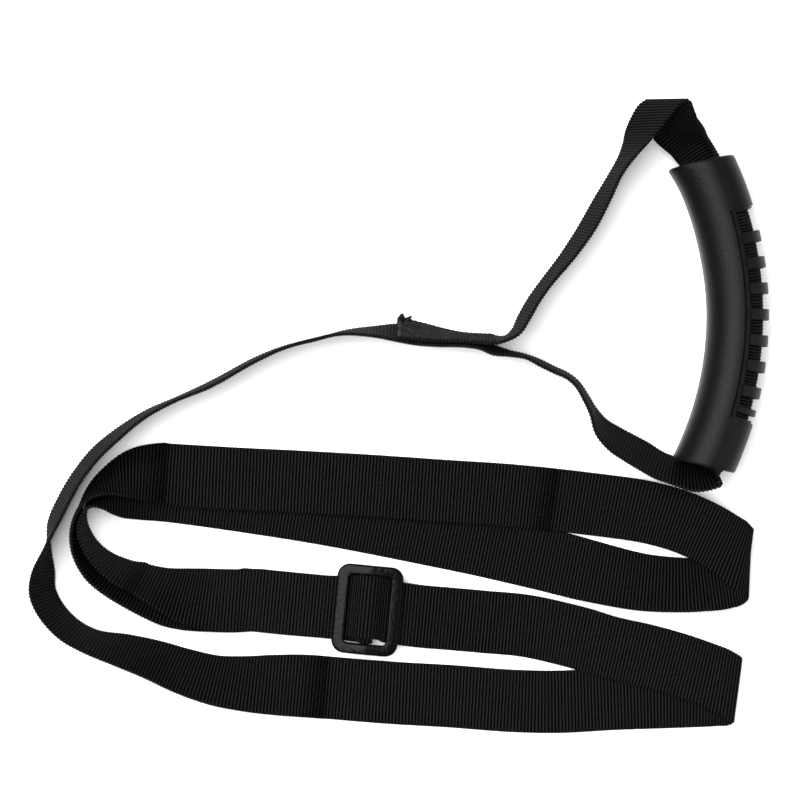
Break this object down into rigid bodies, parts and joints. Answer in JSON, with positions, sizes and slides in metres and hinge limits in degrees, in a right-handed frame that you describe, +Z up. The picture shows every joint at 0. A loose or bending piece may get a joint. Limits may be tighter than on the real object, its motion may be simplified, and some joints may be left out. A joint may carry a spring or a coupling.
{
  "type": "exercise strap with hand grip",
  "caption": "Webbing strap laid out flat: a curved hollow hand grip on a sewn handle loop at one end, and a loop adjusted by a slide buckle at the other.",
  "frame": {"origin": "middle of the strap's footprint as it lies, on the surface under it", "axes": "+Z up; +X from the adjustable loop's turns towards the hand grip; +Y from the buckle towards the handle loop"},
  "size_m": [0.2904, 0.2504, 0.035],
  "materials": {
    "webbing": "woven, matte",
    "thread": "spun thread",
    "grip_plastic": "fine matte grain",
    "buckle_plastic": "satin moulded"
  },
  "bodies": {
    "strap": {"grip_web": "webbing", "grip_entry_web": "webbing", "grip_exit_web": "webbing", "handle_tail_web": "webbing", "upper_leg_web": "webbing", "lower_leg_web": "webbing", "handle_sewn_web": "webbing", "handle_stitching": "thread", "lead_web": "webbing", "lower_band_web": "webbing", "fold_web": "webbing", "return_web": "webbing", "buckle_in_web": "webbing", "buckle_out_web": "webbing", "inner_turn_web": "webbing", "second_band_web": "webbing", "loop_end_web": "webbing", "top_band_web": "webbing", "outer_turn_web": "webbing", "anchor_web": "webbing"},
    "buckle": {"slide_buckle": "buckle_plastic", "buckle_bar_web": "webbing", "buckle_tab_web": "webbing", "tab_stitching": "thread"},
    "grip": {"grip_shell": "grip_plastic"}
  },
  "joints": [
    {"name": "buckle_slide", "type": "slide", "parent": "strap", "child": "buckle", "axis": [0.9954, -0.0958, 0], "range_m": [-0.01, 0.01], "deforming": ["buckle_in_web", "buckle_out_web", "anchor_web"]},
    {"name": "grip_slide", "type": "hinge", "parent": "strap", "child": "grip", "pos_m": [-0.003, 0.04145, 0.014], "axis": [0, 0, 1], "range_deg": [0, 2.4]}
  ]
}
